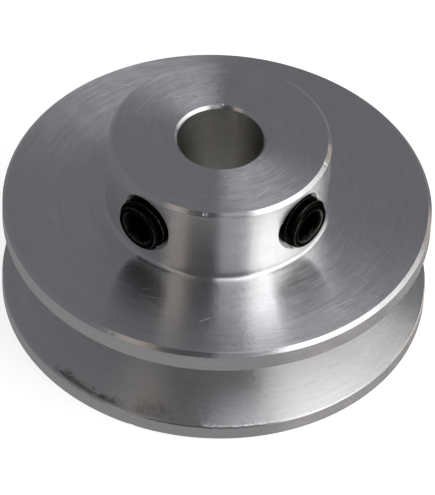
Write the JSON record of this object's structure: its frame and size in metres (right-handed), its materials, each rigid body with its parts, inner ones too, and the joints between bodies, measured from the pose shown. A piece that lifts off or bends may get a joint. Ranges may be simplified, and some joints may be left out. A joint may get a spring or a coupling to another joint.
{
  "type": "v belt pulley",
  "caption": "Turned aluminium V belt pulley with one groove, a hub and radial set screws that clamp it to a shaft.",
  "frame": {"origin": "on the bore axis, in the outer face of the rim that is away from the hub", "axes": "+Z along the bore towards the end of the hub; one set screw points along -Y, the other along +X"},
  "size_m": [0.04, 0.04, 0.0192],
  "materials": {
    "turned_aluminium": "turned, fine circular tool marks",
    "black_steel": "black oxide"
  },
  "bodies": {
    "pulley": {"pulley_body": "turned_aluminium"},
    "front_screw": {"front_set_screw": "black_steel"},
    "side_screw": {"side_set_screw": "black_steel"}
  },
  "joints": [
    {"name": "front_screw_travel", "type": "slide", "parent": "pulley", "child": "front_screw", "axis": [0, -1, 0], "range_m": [-0.0012, 0.0052]},
    {"name": "side_screw_travel", "type": "slide", "parent": "pulley", "child": "side_screw", "axis": [1, 0, 0], "range_m": [-0.0012, 0.0052]}
  ]
}
